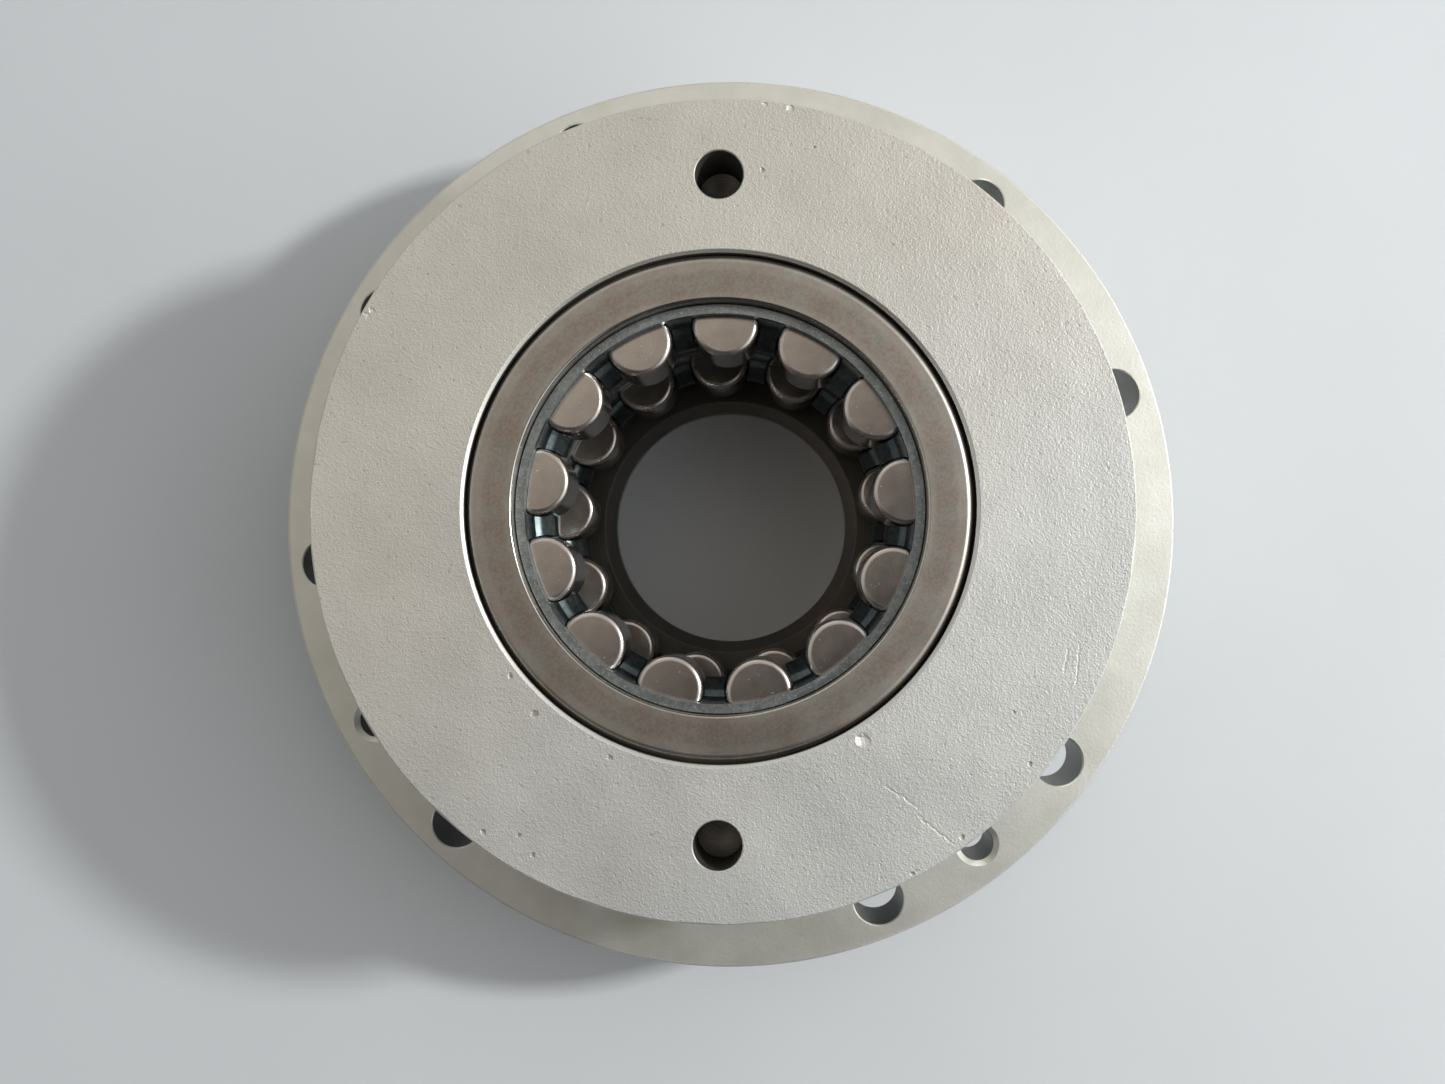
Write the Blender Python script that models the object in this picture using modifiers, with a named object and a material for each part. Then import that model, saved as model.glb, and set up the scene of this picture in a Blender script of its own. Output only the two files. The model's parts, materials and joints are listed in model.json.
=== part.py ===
"""Flanged roller-bearing unit: a round cast housing that carries two caged rows of cylindrical rollers.

The shaft runs straight on the rollers, so neither row has an inner ring. The unit stands on its
spigot, with the shaft axis along +Z and the origin at the middle of the bottom face.
"""

import math

import bmesh
import bpy
from mathutils import Matrix

MM = 0.001

# Rollers
ROLLER_COUNT = 13
ROLLER_DIAMETER = 12.0 * MM
ROLLER_LENGTH = 13.0 * MM
ROLLER_GAP = 4.0 * MM
ROLLER_EDGE = 0.8 * MM

# Outer rings, alike in both rows
RING_WALL = 5.27 * MM
RIB_WIDTH = 4.7 * MM
RIB_HEIGHT = 3.15 * MM
RING_EDGE = 1.2 * MM
RIB_EDGE = 0.4 * MM

# Pressed window cages
CAGE_WALL = 1.2 * MM
CAGE_RIM = 1.9 * MM
CAGE_BAR_ROOT = 0.6 * MM
CAGE_BAR_SLOPE = 3.4 * MM
CAGE_BAR_SET_IN = 4.5 * MM

# Spacer between the outer rings
SPACER_LENGTH = 12.5 * MM
SPACER_WALL = 6.5 * MM
SPACER_EDGE = 0.8 * MM

# Housing
TOP_RECESS = 0.3 * MM
BOSS_WALL = 27.2 * MM
BOSS_HEIGHT = 31.2 * MM
BOSS_EDGE = 0.7 * MM
BORE_EDGE = 0.8 * MM
FLANGE_OVERHANG = 15.0 * MM
FLANGE_THICKNESS = 16.0 * MM
FLANGE_ROUND = 1.5 * MM
FLANGE_UNDER_EDGE = 1.0 * MM
ROOT_FILLET = 1.2 * MM
SPIGOT_WALL = 19.7 * MM
SPIGOT_EDGE = 1.5 * MM
SHOULDER_THICKNESS = 5.3 * MM
SHOULDER_SET_IN = 20.3 * MM
SHOULDER_CHAMFER = 2.3 * MM
SHOULDER_UNDER_EDGE = 0.8 * MM

# Holes in the housing
BOLT_HOLE_DIAMETER = 9.6 * MM
BOLT_HOLE_EDGE = 0.4 * MM
JACK_HOLE_DIAMETER = 6.6 * MM
JACK_HOLE_EDGE = 1.0 * MM
FACE_HOLE_DIAMETER = 8.6 * MM
FACE_HOLE_EDGE = 0.5 * MM
FACE_HOLE_DEPTH = 13.5 * MM
DRILL_POINT_ANGLE = math.radians(118.0)

# Places round the shaft axis, in degrees, anticlockwise from +X
BOLT_HOLE_ANGLES = (17.6, 51.1, 111.6, 149.0, 186.5, 228.7, 291.9, 323.8)
JACK_HOLE_ANGLES = (210.1, 307.7)
FACE_HOLE_ANGLES = (90.0, 270.0)
UPPER_ROW_TURN = 88.4
LOWER_ROW_TURN = 93.0

# Clearances
SEAT_CLEARANCE = 0.3 * MM
RUNNING_CLEARANCE = 0.3 * MM
CAGE_RIB_CLEARANCE = 0.45 * MM
CUT_MARGIN = 0.5 * MM

# Facets
TURN_STEPS = 56
CAGE_STEPS_PER_ROLLER = 4
ROLLER_SIDES = 18
HOLE_SIDES = 16
ARC_STEPS = 2
SMOOTH_ANGLE = math.radians(35.0)

# Radii, from the rollers outwards
ROLLER_RADIUS = ROLLER_DIAMETER / 2
PITCH_RADIUS = (ROLLER_DIAMETER + ROLLER_GAP) / 2 / math.sin(math.pi / ROLLER_COUNT)
RACEWAY_RADIUS = PITCH_RADIUS + ROLLER_RADIUS + RUNNING_CLEARANCE
RIB_RADIUS = RACEWAY_RADIUS - RIB_HEIGHT
RING_RADIUS = RACEWAY_RADIUS + RING_WALL
SPACER_BORE_RADIUS = RING_RADIUS - SPACER_WALL
CAGE_RIM_RADIUS = RIB_RADIUS - CAGE_RIB_CLEARANCE - CAGE_WALL / 2
CAGE_BAR_RADIUS = CAGE_RIM_RADIUS - CAGE_BAR_SET_IN
BORE_RADIUS = RING_RADIUS + SEAT_CLEARANCE
BOSS_RADIUS = BORE_RADIUS + BOSS_WALL
FLANGE_RADIUS = BOSS_RADIUS + FLANGE_OVERHANG
SPIGOT_RADIUS = BORE_RADIUS + SPIGOT_WALL
SHOULDER_RADIUS = BORE_RADIUS - SHOULDER_SET_IN
BOLT_CIRCLE_RADIUS = (BOSS_RADIUS + FLANGE_RADIUS) / 2
FACE_HOLE_CIRCLE_RADIUS = (BORE_RADIUS + BOSS_RADIUS) / 2

# Heights, from the bottom face upwards
WINDOW_LENGTH = ROLLER_LENGTH + 2 * RUNNING_CLEARANCE
RING_WIDTH = WINDOW_LENGTH + 2 * RIB_WIDTH
LOWER_RING_Z = SHOULDER_THICKNESS + SEAT_CLEARANCE
SPACER_Z = LOWER_RING_Z + RING_WIDTH + SEAT_CLEARANCE
UPPER_RING_Z = SPACER_Z + SPACER_LENGTH + SEAT_CLEARANCE
TOP_Z = UPPER_RING_Z + RING_WIDTH + TOP_RECESS
FLANGE_TOP_Z = TOP_Z - BOSS_HEIGHT
FLANGE_UNDER_Z = FLANGE_TOP_Z - FLANGE_THICKNESS


def clear_scene():
    """Remove what the open file holds; give a collection for the pieces and one for the cutters."""
    for old in list(bpy.data.objects):
        bpy.data.objects.remove(old)
    collections = []
    for name in ("flanged_roller_bearing_unit", "cutters"):
        collection = bpy.data.collections.new(name)
        bpy.context.scene.collection.children.link(collection)
        collections.append(collection)
    return collections


def make_material(name, colour, roughness, metallic):
    """A Principled finish of one colour."""
    material = bpy.data.materials.new(name)
    material.use_nodes = True
    shader = material.node_tree.nodes["Principled BSDF"]
    shader.inputs["Base Color"].default_value = (*colour, 1.0)
    shader.inputs["Roughness"].default_value = roughness
    shader.inputs["Metallic"].default_value = metallic
    return material


def add_object(name, mesh, collection):
    """Put a mesh into the scene under its own name."""
    piece = bpy.data.objects.new(name, mesh)
    collection.objects.link(piece)
    return piece


def as_cutter(piece):
    """Mark an object as a cutter: a wire that isn't rendered."""
    piece.hide_render = True
    piece.display_type = "WIRE"


def arc(centre, radius, start, end):
    """Points of an arc in the profile plane, between two angles in degrees, both ends included."""
    points = []
    for step in range(ARC_STEPS + 1):
        angle = math.radians(start + (end - start) * step / ARC_STEPS)
        points.append((centre[0] + radius * math.cos(angle), centre[1] + radius * math.sin(angle)))
    return points


def turned(name, profile, closed, steps, collection):
    """Turn a profile of (radius, height) points, which runs down its outer side first, about +Z."""
    mesh = bpy.data.meshes.new(name)
    last = len(profile) - 1
    edges = [(i, i + 1) for i in range(last)]
    if closed:
        edges.append((last, 0))
    mesh.from_pydata([(radius, 0.0, height) for radius, height in profile], edges, [])
    piece = add_object(name, mesh, collection)
    screw = piece.modifiers.new("turn", "SCREW")
    screw.steps = steps
    screw.render_steps = steps
    screw.use_merge_vertices = True
    screw.merge_threshold = 0.00001
    return piece


def cut(piece, cutter):
    """Take a cutter's shape out of a piece."""
    boolean = piece.modifiers.new(cutter.name, "BOOLEAN")
    boolean.operation = "DIFFERENCE"
    boolean.solver = "EXACT"
    boolean.object = cutter


def finish(piece, material):
    """Make the modifiers' result the piece's own mesh, smooth up to its corners, in its material."""
    evaluated = piece.evaluated_get(bpy.context.evaluated_depsgraph_get())
    mesh = bpy.data.meshes.new_from_object(evaluated)
    piece.modifiers.clear()
    piece.data = mesh
    mesh.name = piece.name
    mesh.shade_smooth()
    mesh.set_sharp_from_angle(angle=SMOOTH_ANGLE)
    mesh.materials.clear()
    mesh.materials.append(material)


def drill(piece, name, angle, circle, diameter, edge, mouth, floor, point, cutters):
    """Cut an upright round hole on a circle round the shaft axis.

    The cutter is turned from a profile that starts over the mouth, comes down a 45-degree chamfer
    and the wall to the floor, and ends in the drill point, which is 0 deep in a through hole.
    """
    radius = diameter / 2
    over = mouth + CUT_MARGIN
    profile = [
        (0.0, over),
        (radius + edge + CUT_MARGIN, over),
        (radius, mouth - edge),
        (radius, floor),
        (0.0, floor - point),
    ]
    cutter = turned(name, profile, False, HOLE_SIDES, cutters)
    cutter.location = Matrix.Rotation(math.radians(angle), 3, "Z").col[0] * circle
    cutter.rotation_euler.z = math.radians(angle)
    as_cutter(cutter)
    cut(piece, cutter)


def make_housing(parts, cutters, material):
    """The turned casting: boss, flange and spigot round one bore, with a shoulder at its bottom."""
    boss = [(BOSS_RADIUS - BOSS_EDGE, TOP_Z), (BOSS_RADIUS, TOP_Z - BOSS_EDGE)]
    root = arc((BOSS_RADIUS + ROOT_FILLET, FLANGE_TOP_Z + ROOT_FILLET), ROOT_FILLET, 180.0, 270.0)
    rim = arc((FLANGE_RADIUS - FLANGE_ROUND, FLANGE_TOP_Z - FLANGE_ROUND), FLANGE_ROUND, 90.0, 0.0)
    under = [
        (FLANGE_RADIUS, FLANGE_UNDER_Z + FLANGE_UNDER_EDGE),
        (FLANGE_RADIUS - FLANGE_UNDER_EDGE, FLANGE_UNDER_Z),
        (SPIGOT_RADIUS, FLANGE_UNDER_Z),
        (SPIGOT_RADIUS, SPIGOT_EDGE),
        (SPIGOT_RADIUS - SPIGOT_EDGE, 0.0),
    ]
    inside = [
        (SHOULDER_RADIUS + SHOULDER_UNDER_EDGE, 0.0),
        (SHOULDER_RADIUS, SHOULDER_UNDER_EDGE),
        (SHOULDER_RADIUS, SHOULDER_THICKNESS - SHOULDER_CHAMFER),
        (SHOULDER_RADIUS + SHOULDER_CHAMFER, SHOULDER_THICKNESS),
        (BORE_RADIUS, SHOULDER_THICKNESS),
        (BORE_RADIUS, TOP_Z - BORE_EDGE),
        (BORE_RADIUS + BORE_EDGE, TOP_Z),
    ]
    housing = turned("housing", boss + root + rim + under + inside, True, TURN_STEPS, parts)
    through = FLANGE_UNDER_Z - CUT_MARGIN
    for number, angle in enumerate(BOLT_HOLE_ANGLES, 1):
        drill(housing, f"bolt_hole_{number}", angle, BOLT_CIRCLE_RADIUS, BOLT_HOLE_DIAMETER,
              BOLT_HOLE_EDGE, FLANGE_TOP_Z, through, 0.0, cutters)
    for number, angle in enumerate(JACK_HOLE_ANGLES, 1):
        drill(housing, f"jack_hole_{number}", angle, BOLT_CIRCLE_RADIUS, JACK_HOLE_DIAMETER,
              JACK_HOLE_EDGE, FLANGE_TOP_Z, through, 0.0, cutters)
    floor = TOP_Z - FACE_HOLE_DEPTH
    point = FACE_HOLE_DIAMETER / 2 / math.tan(DRILL_POINT_ANGLE / 2)
    for number, angle in enumerate(FACE_HOLE_ANGLES, 1):
        drill(housing, f"face_hole_{number}", angle, FACE_HOLE_CIRCLE_RADIUS, FACE_HOLE_DIAMETER,
              FACE_HOLE_EDGE, TOP_Z, floor, point, cutters)
    finish(housing, material)


def make_outer_ring(name, base, parts, material):
    """An outer ring whose two inner ribs hold the rollers endways."""
    top = base + RING_WIDTH
    profile = [
        (RING_RADIUS - RING_EDGE, top),
        (RING_RADIUS, top - RING_EDGE),
        (RING_RADIUS, base + RING_EDGE),
        (RING_RADIUS - RING_EDGE, base),
        (RIB_RADIUS + RIB_EDGE, base),
        (RIB_RADIUS, base + RIB_EDGE),
        (RIB_RADIUS, base + RIB_WIDTH),
        (RACEWAY_RADIUS, base + RIB_WIDTH),
        (RACEWAY_RADIUS, top - RIB_WIDTH),
        (RIB_RADIUS, top - RIB_WIDTH),
        (RIB_RADIUS, top - RIB_EDGE),
        (RIB_RADIUS + RIB_EDGE, top),
    ]
    ring = turned(name, profile, True, TURN_STEPS, parts)
    finish(ring, material)


def make_spacer_ring(parts, material):
    """The plain sleeve that holds the two outer rings apart."""
    top = SPACER_Z + SPACER_LENGTH
    profile = [
        (RING_RADIUS - SPACER_EDGE, top),
        (RING_RADIUS, top - SPACER_EDGE),
        (RING_RADIUS, SPACER_Z + SPACER_EDGE),
        (RING_RADIUS - SPACER_EDGE, SPACER_Z),
        (SPACER_BORE_RADIUS, SPACER_Z),
        (SPACER_BORE_RADIUS, top),
    ]
    spacer = turned("spacer_ring", profile, True, TURN_STEPS, parts)
    finish(spacer, material)


def roller_places():
    """Where the rollers stand round a cage's own axis, as one matrix each, turned to face it."""
    pitch = 2 * math.pi / ROLLER_COUNT
    out = Matrix.Translation((PITCH_RADIUS, 0.0, 0.0))
    return [Matrix.Rotation(-number * pitch, 4, "Z") @ out for number in range(ROLLER_COUNT)]


def make_window_cutter(cutters):
    """Roller-shaped windows, with running clearance all round, for one cage."""
    windows = bmesh.new()
    radius = ROLLER_RADIUS + RUNNING_CLEARANCE
    for place in roller_places():
        bmesh.ops.create_cone(windows, cap_ends=True, segments=ROLLER_SIDES, radius1=radius,
                              radius2=radius, depth=WINDOW_LENGTH, matrix=place)
    mesh = bpy.data.meshes.new("window_cutter")
    windows.to_mesh(mesh)
    windows.free()
    cutter = add_object("window_cutter", mesh, cutters)
    as_cutter(cutter)
    return cutter


def make_cage(name, window_cutter, parts, material):
    """A pressed cage: one sheet from rim to rim, whose bars step in between the rollers.

    The half profile runs down from the upper rim to the middle of a bar, the other half mirrors it.
    """
    rim_end = WINDOW_LENGTH / 2 + CAGE_RIM
    slope_top = WINDOW_LENGTH / 2 - CAGE_BAR_ROOT
    upper = [
        (CAGE_RIM_RADIUS, rim_end),
        (CAGE_RIM_RADIUS, slope_top),
        (CAGE_BAR_RADIUS, slope_top - CAGE_BAR_SLOPE),
    ]
    lower = [(radius, -height) for radius, height in reversed(upper)]
    cage = turned(name, upper + lower, False, ROLLER_COUNT * CAGE_STEPS_PER_ROLLER, parts)
    sheet = cage.modifiers.new("sheet", "SOLIDIFY")
    sheet.thickness = CAGE_WALL
    sheet.offset = 0.0
    sheet.use_even_offset = True
    cut(cage, window_cutter)
    finish(cage, material)
    return cage


def make_roller_mesh(material):
    """One roller, standing on end, its edges rounded off."""
    shape = bmesh.new()
    bmesh.ops.create_cone(shape, cap_ends=True, segments=ROLLER_SIDES, radius1=ROLLER_RADIUS,
                          radius2=ROLLER_RADIUS, depth=ROLLER_LENGTH)
    ends = [edge for edge in shape.edges if edge.verts[0].co.z * edge.verts[1].co.z > 0.0]
    bmesh.ops.bevel(shape, geom=ends, offset=ROLLER_EDGE, offset_type="OFFSET", segments=1,
                    profile=0.5, affect="EDGES")
    mesh = bpy.data.meshes.new("roller")
    shape.to_mesh(mesh)
    shape.free()
    mesh.shade_smooth()
    mesh.set_sharp_from_angle(angle=SMOOTH_ANGLE)
    mesh.materials.append(material)
    return mesh


def make_row(row, ring_z, turn, window_cutter, roller_mesh, parts, materials):
    """One bearing row: its outer ring, its cage on the shaft axis and the rollers the cage carries."""
    make_outer_ring(f"{row}_outer_ring", ring_z, parts, materials["ring"])
    cage = make_cage(f"{row}_cage", window_cutter, parts, materials["cage"])
    cage.location.z = ring_z + RING_WIDTH / 2
    cage.rotation_euler.z = math.radians(turn)
    for number, place in enumerate(roller_places(), 1):
        roller = add_object(f"{row}_roller_{number:02d}", roller_mesh, parts)
        roller.parent = cage
        roller.matrix_local = place


def main():
    parts, cutters = clear_scene()
    materials = {
        "ring": make_material("ground_ring_steel", (0.35, 0.31, 0.28), 0.35, 1.0),
        "cage": make_material("pressed_cage_steel", (0.33, 0.37, 0.38), 0.4, 1.0),
        "roller": make_material("roller_steel", (0.55, 0.53, 0.51), 0.2, 1.0),
        "spacer": make_material("spacer_steel", (0.3, 0.29, 0.28), 0.45, 1.0),
        "housing": make_material("blasted_casting", (0.62, 0.6, 0.56), 0.65, 0.6),
    }
    make_housing(parts, cutters, materials["housing"])
    make_spacer_ring(parts, materials["spacer"])
    window_cutter = make_window_cutter(cutters)
    roller_mesh = make_roller_mesh(materials["roller"])
    make_row("upper", UPPER_RING_Z, UPPER_ROW_TURN, window_cutter, roller_mesh, parts, materials)
    make_row("lower", LOWER_RING_Z, LOWER_ROW_TURN, window_cutter, roller_mesh, parts, materials)


main()
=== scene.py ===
"""Dressed model of the flanged roller-bearing unit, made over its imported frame.

Every piece is a surface worked out with numpy: a profile carried round an axis, or a grid of two
parameters. Lengths are in metres. Each piece stands for one CAD node and rides on that node's body.
"""

import json
import math

import bpy
import numpy as np
from mathutils import Matrix, Vector


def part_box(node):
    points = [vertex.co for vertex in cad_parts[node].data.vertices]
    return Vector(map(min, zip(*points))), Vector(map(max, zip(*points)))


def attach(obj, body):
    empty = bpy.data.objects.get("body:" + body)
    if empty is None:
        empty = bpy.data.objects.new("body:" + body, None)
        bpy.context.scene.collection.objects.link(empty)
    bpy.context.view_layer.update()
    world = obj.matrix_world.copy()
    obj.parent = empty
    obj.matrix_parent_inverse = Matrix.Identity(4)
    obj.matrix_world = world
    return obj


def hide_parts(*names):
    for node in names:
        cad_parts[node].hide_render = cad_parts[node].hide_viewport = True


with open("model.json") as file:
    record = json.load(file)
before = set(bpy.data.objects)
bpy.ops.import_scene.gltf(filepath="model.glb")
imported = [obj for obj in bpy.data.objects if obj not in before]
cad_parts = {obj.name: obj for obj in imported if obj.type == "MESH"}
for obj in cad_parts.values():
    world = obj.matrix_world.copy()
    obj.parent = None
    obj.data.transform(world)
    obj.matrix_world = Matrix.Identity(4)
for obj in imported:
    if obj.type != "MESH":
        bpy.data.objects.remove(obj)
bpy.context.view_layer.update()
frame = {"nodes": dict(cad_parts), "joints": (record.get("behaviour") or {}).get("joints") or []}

MM = 0.001
FULL_TURN = 2.0 * math.pi

# Sizes read from the frame
HOUSING_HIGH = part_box("housing")[1]
CAGE_LOW, CAGE_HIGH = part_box("upper_cage")
FLANGE_RADIUS = HOUSING_HIGH.x
TOP = HOUSING_HIGH.z
RING_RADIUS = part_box("upper_outer_ring")[1].x
JOINTS = {joint["child"]: joint for joint in frame["joints"]}
ROLLER_COUNT = sum(name.startswith("upper_roller") for name in frame["nodes"])
PITCH = FULL_TURN / ROLLER_COUNT

# Rollers
ROLLER_RADIUS = 6.0 * MM
ROLLER_EDGE = 1.0 * MM
PITCH_RADIUS = Vector(JOINTS["upper_roller_01"]["pos_m"][:2]).length

# Outer rings
RACEWAY_RADIUS = 39.73 * MM
RIB_RADIUS = 36.58 * MM
RIB_WIDTH = 4.7 * MM
RING_EDGE_DEPTH = 1.1 * MM
RING_EDGE_LENGTH = 2.0 * MM
RING_EDGE_END_ROUND = 1.1 * MM
RING_EDGE_SIDE_ROUND = 0.8 * MM
RIB_EDGE = 0.5 * MM
RIB_CORNER = 0.15 * MM
RELIEF = 0.35 * MM

# Painted sheen: lighter bands beside the inner and outer edges of a ring's face; the radii between which
# each fades
INNER_SHEEN_BAND = (RIB_RADIUS + 0.7 * MM, RIB_RADIUS + 1.9 * MM)
OUTER_SHEEN_BAND = (RING_RADIUS - 3.8 * MM, RING_RADIUS - 2.6 * MM)

# Pressed cages
CAGE_WALL = 1.6 * MM
CAGE_RIM_RADIUS = 35.53 * MM
CAGE_BAR_RADIUS = 31.03 * MM
CAGE_HALF_HEIGHT = (CAGE_HIGH.z - CAGE_LOW.z) / 2
WINDOW_HALF = 6.8 * MM
WINDOW_CORNER = 0.9 * MM
WINDOW_CLEARANCE = 0.32 * MM
BAR_TOP = 6.6 * MM
BAR_STEP_OUTER = (34.2 * MM, 4.2 * MM)
BAR_STEP_INNER = (33.1 * MM, 3.5 * MM)
BAR_FLAT = 0.8 * MM
CAGE_BEND = 0.7 * MM
CAGE_EDGE = 0.36 * MM
CAGE_EDGE_ANGLE = math.radians(60.0)

# Spacer
SPACER_BORE_RADIUS = 38.5 * MM
SPACER_EDGE = 0.8 * MM

# Housing
BORE_RADIUS = 45.06 * MM
BORE_EDGE = 0.55 * MM
BOSS_RADIUS = 72.5 * MM
BOSS_EDGE = 0.2 * MM
BOSS_EDGE_ROUND = 0.1 * MM
BOSS_EDGE_WEAR = 0.2 * MM
FLANGE_TOP = TOP - 31.2 * MM
FLANGE_UNDER = FLANGE_TOP - 16.0 * MM
FLANGE_ROUND = 0.5 * MM
FLANGE_UNDER_EDGE = 1.0 * MM
ROOT_FILLET = 1.2 * MM
SPIGOT_RADIUS = 65.0 * MM
SPIGOT_EDGE = 1.5 * MM
SHOULDER_TOP = 5.3 * MM
SHOULDER_RADIUS = 25.0 * MM
SHOULDER_CHAMFER = 2.3 * MM
SHOULDER_UNDER_EDGE = 0.8 * MM
SOFT_EDGE = 0.25 * MM
SHARP_EDGE = 0.08 * MM

# Wear of the boss's top edge: each sine's number of waves in a turn, and its phase
BOSS_WEAR_WAVES = ((9, 0.0), (23, 1.0), (4, 2.0))

# Holes: angles in degrees, anticlockwise from +X
BOLT_HOLES = (17.6, 51.1, 111.6, 149.0, 186.5, 228.7, 291.9, 323.8)
JACK_HOLES = (210.1, 307.7)
FACE_HOLES = (90.0, 270.0)
BOLT_HOLE_RADIUS = 4.8 * MM
BOLT_HOLE_EDGE = 0.25 * MM
JACK_HOLE_RADIUS = 3.3 * MM
JACK_HOLE_EDGE = 1.0 * MM
FACE_HOLE_RADIUS = 4.3 * MM
FACE_HOLE_EDGE = 0.2 * MM
FACE_HOLE_DEPTH = 13.5 * MM
DRILL_HALF_ANGLE = math.radians(59.0)
DRILL_POINT = FACE_HOLE_RADIUS / math.tan(DRILL_HALF_ANGLE)
BOLT_CIRCLE = (BOSS_RADIUS + FLANGE_RADIUS) / 2
FACE_HOLE_CIRCLE = 58.9 * MM
CUT_MARGIN = 0.5 * MM

# Marks on the top face, in millimetres: places of dents and pits with their radius, and ends of scratches
DENTS = ((25.1, -40.5, 1.5), (-62.6, 34.3, 0.7), (-61.8, 35.0, 0.7), (8.1, 71.4, 0.6), (12.6, 70.5, 0.8))
PITS = (
    (51.1, -35.6, 0.4), (53.7, -44.5, 0.5), (33.5, -63.4, 0.5), (42.0, -57.0, 0.6), (-36.4, -29.7, 0.6),
    (-32.0, -36.3, 0.9), (-18.9, -43.9, 0.6), (-40.9, -56.8, 0.6), (-34.6, -57.3, 0.5), (-32.1, -60.7, 0.5),
    (7.7, 59.5, 0.5), (16.8, 63.6, 0.4),
)
SCRATCHES = (
    ((29.1, -48.4), (34.5, -52.0)), ((34.5, -53.5), (40.5, -58.2)),
    ((62.4, -24.0), (61.7, -30.6)), ((60.4, -24.9), (59.7, -28.7)),
)
SCRATCH_WIDTH = 0.3 * MM

# Depths of those marks, in millimetres; a dent's is a share of its radius
DENT_DEPTH_SHARE = 0.2
PIT_DEPTH = 0.15
SCRATCH_DEPTH = 0.04

# Shares of a mark's radius or width that are at its full depth
ROUND_MARK_FLOOR = 0.3
SCRATCH_FLOOR = 0.2

# The way across the top face in which its tint turns from warm to cool, a little darker on the warm side as
# painted shade
TINT_AND_SHADE_WAY = (0.6, -0.8, 0.0)

# Fineness
ARC_STEPS = 5
RING_COLUMNS = 288
HOUSING_COLUMNS = 360
ROLLER_COLUMNS = 72
HOLE_COLUMNS = 64
CAGE_CORNER_POINTS = 8
CAGE_LINE_POINTS = 31
CAGE_RIM_ROWS = 3
CAGE_BAR_COLUMNS = 8
CAGE_WINDOW_COLUMNS = 14
CAGE_EDGE_STEPS = 3
SMOOTH_ANGLE = math.radians(30.0)

# Camera, as the photograph was taken: its width and focal length in pixels, tilts in radians
PHOTO_WIDTH = 1445
FOCAL_PIXELS = 1400
SENSOR_MM = 36.0
CAMERA_PLACE = Vector((10.78, -17.74, 309.14)) * MM
CAMERA_TILT_X = 0.047
CAMERA_TILT_Y = 0.041
CAMERA_NEAR = 0.01

# Light and floor
LAMP_TARGET = Vector((0.0, 0.0, 30.0)) * MM
LAMP_TINT = (1.0, 0.99, 0.97)
BRIGHT_SIDE = (-0.6, 0.8, 0.0)
GLOW_WAY = (0.845, 0.06, 0.53)
FLOOR_HALF = 5.0

# The attribute that keeps a point's place on its roller's own axes
OWN_PLACE = "own_place"

# The Mix node's numbered inputs and output for colours, whose names are not unique
MIX_SHARE = 0
MIX_FIRST = 6
MIX_SECOND = 7
MIX_RESULT = 2


class Socket:
    """An output of a node. Arithmetic on it adds Math nodes to the same tree."""

    def __init__(self, nodes, link):
        self.nodes = nodes
        self.link = link

    def __add__(self, other):
        return self.nodes.math("ADD", self, other)

    def __radd__(self, other):
        return self.nodes.math("ADD", other, self)

    def __sub__(self, other):
        return self.nodes.math("SUBTRACT", self, other)

    def __rsub__(self, other):
        return self.nodes.math("SUBTRACT", other, self)

    def __mul__(self, other):
        return self.nodes.math("MULTIPLY", self, other)

    def __rmul__(self, other):
        return self.nodes.math("MULTIPLY", other, self)

    def __truediv__(self, other):
        return self.nodes.math("DIVIDE", self, other)

    def __rtruediv__(self, other):
        return self.nodes.math("DIVIDE", other, self)


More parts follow.
